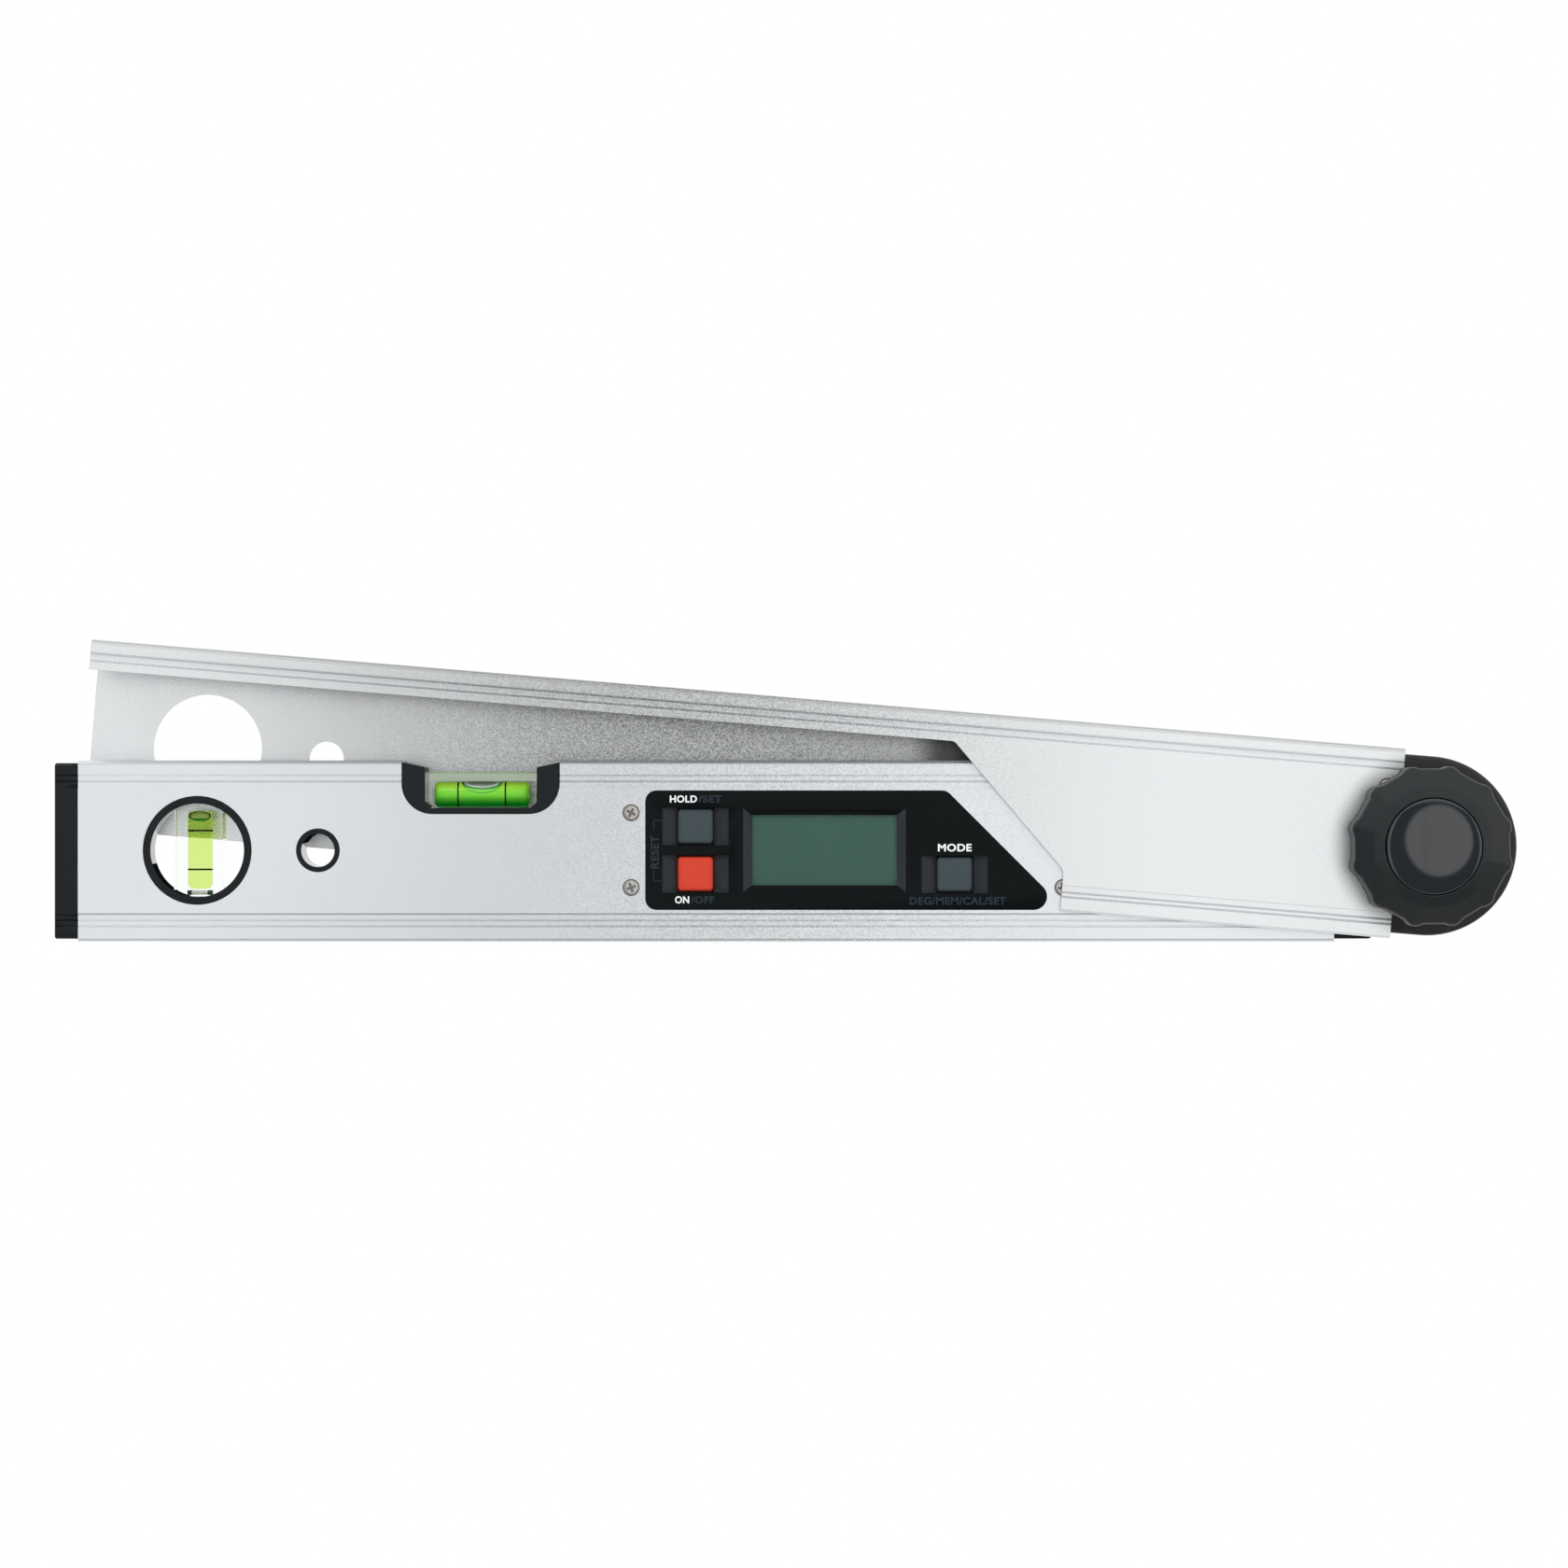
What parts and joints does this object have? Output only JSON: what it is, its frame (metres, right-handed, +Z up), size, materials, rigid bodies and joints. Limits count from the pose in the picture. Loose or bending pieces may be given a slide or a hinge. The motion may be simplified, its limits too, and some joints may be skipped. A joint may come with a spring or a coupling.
{
  "type": "digital angle finder",
  "caption": "Digital angle finder: box-section base arm with level vials, display and keys, and a channel arm that folds over it on a bolt locked by a lobed knob.",
  "frame": {"origin": "middle of the base arm's measuring face, halfway along its aluminium extrusion and across its depth", "axes": "+X along the base arm towards the pivot, +Y out of the back, away from the display, +Z up out of the base arm's top edge"},
  "size_m": [0.4438, 0.0524, 0.0918],
  "materials": {
    "aluminium": "fine bead-blasted, silver anodised",
    "black_plastic": "fine spark-eroded moulding texture",
    "panel_plastic": "smooth satin",
    "grey_button": "smooth satin",
    "red_button": "smooth satin",
    "clear_plastic": "polished clear acrylic",
    "green_fluid": "clear dyed spirit",
    "black_ink": "printed line",
    "lcd_glass": "unlit liquid-crystal screen, satin polariser",
    "circuit_laminate": "green solder mask",
    "ribbon_film": "polyimide film",
    "switch_plastic": "moulded",
    "battery_can": "plain printed sleeve",
    "nickel_steel": "nickel plated",
    "bolt_steel": "zinc plated",
    "bush_brass": "turned",
    "washer_plastic": "natural acetal",
    "knob_plastic": "fine spark-eroded moulding texture",
    "badge_plastic": "polished dome"
  },
  "bodies": {
    "base_arm": {"base_arm_extrusion": "aluminium", "base_end_cap": "black_plastic", "hinge_housing": "black_plastic", "level_vial_holder": "black_plastic", "plumb_bezel_front": "black_plastic", "plumb_bezel_rear": "black_plastic", "battery_door": "black_plastic", "module_frame": "black_plastic", "display_bezel": "panel_plastic", "hang_hole_bush": "black_plastic", "level_vial_block": "clear_plastic", "plumb_vial_block": "clear_plastic", "display_window": "clear_plastic", "level_vial_fluid": "green_fluid", "plumb_vial_fluid": "green_fluid", "level_vial_rings": "black_ink", "plumb_vial_rings": "black_ink", "lcd_panel": "lcd_glass", "circuit_board": "circuit_laminate", "encoder_board": "circuit_laminate", "encoder_ribbon": "ribbon_film", "key_switches": "switch_plastic", "battery_cells": "battery_can", "battery_contacts": "nickel_steel", "module_screws": "nickel_steel", "housing_screws": "nickel_steel", "battery_door_screw": "nickel_steel", "hinge_bush": "bush_brass", "friction_washers": "washer_plastic"},
    "swing_arm": {"swing_arm_channel": "aluminium", "front_hinge_cap": "black_plastic", "rear_hinge_cap": "black_plastic", "front_cap_screws": "nickel_steel", "rear_cap_screws": "nickel_steel", "encoder_disc": "circuit_laminate", "pivot_bolt": "bolt_steel", "rear_bolt_cover": "black_plastic", "thrust_washer": "bolt_steel", "badge_cap": "badge_plastic"},
    "lock_knob": {"lock_knob": "knob_plastic", "knob_insert": "bush_brass"},
    "button_hold": {"button_hold": "grey_button"},
    "button_power": {"button_power": "red_button"},
    "button_mode": {"button_mode": "grey_button"}
  },
  "joints": [
    {"name": "swing", "type": "hinge", "parent": "base_arm", "child": "swing_arm", "pos_m": [0.21875, 0, 0.0291], "axis": [0, 1, 0], "range_deg": [-4.75, 220.25]},
    {"name": "knob_turn", "type": "hinge", "parent": "swing_arm", "child": "lock_knob", "pos_m": [0.21875, -0.0241, 0.0291], "axis": [0, 1, 0], "range_deg": [0, 90]},
    {"name": "hold_press", "type": "slide", "parent": "base_arm", "child": "button_hold", "axis": [0, 1, 0], "range_m": [0, 0.0005], "stiffness_N_per_m": 3000},
    {"name": "power_press", "type": "slide", "parent": "base_arm", "child": "button_power", "axis": [0, 1, 0], "range_m": [0, 0.0005], "stiffness_N_per_m": 3000},
    {"name": "mode_press", "type": "slide", "parent": "base_arm", "child": "button_mode", "axis": [0, 1, 0], "range_m": [0, 0.0005], "stiffness_N_per_m": 3000}
  ]
}
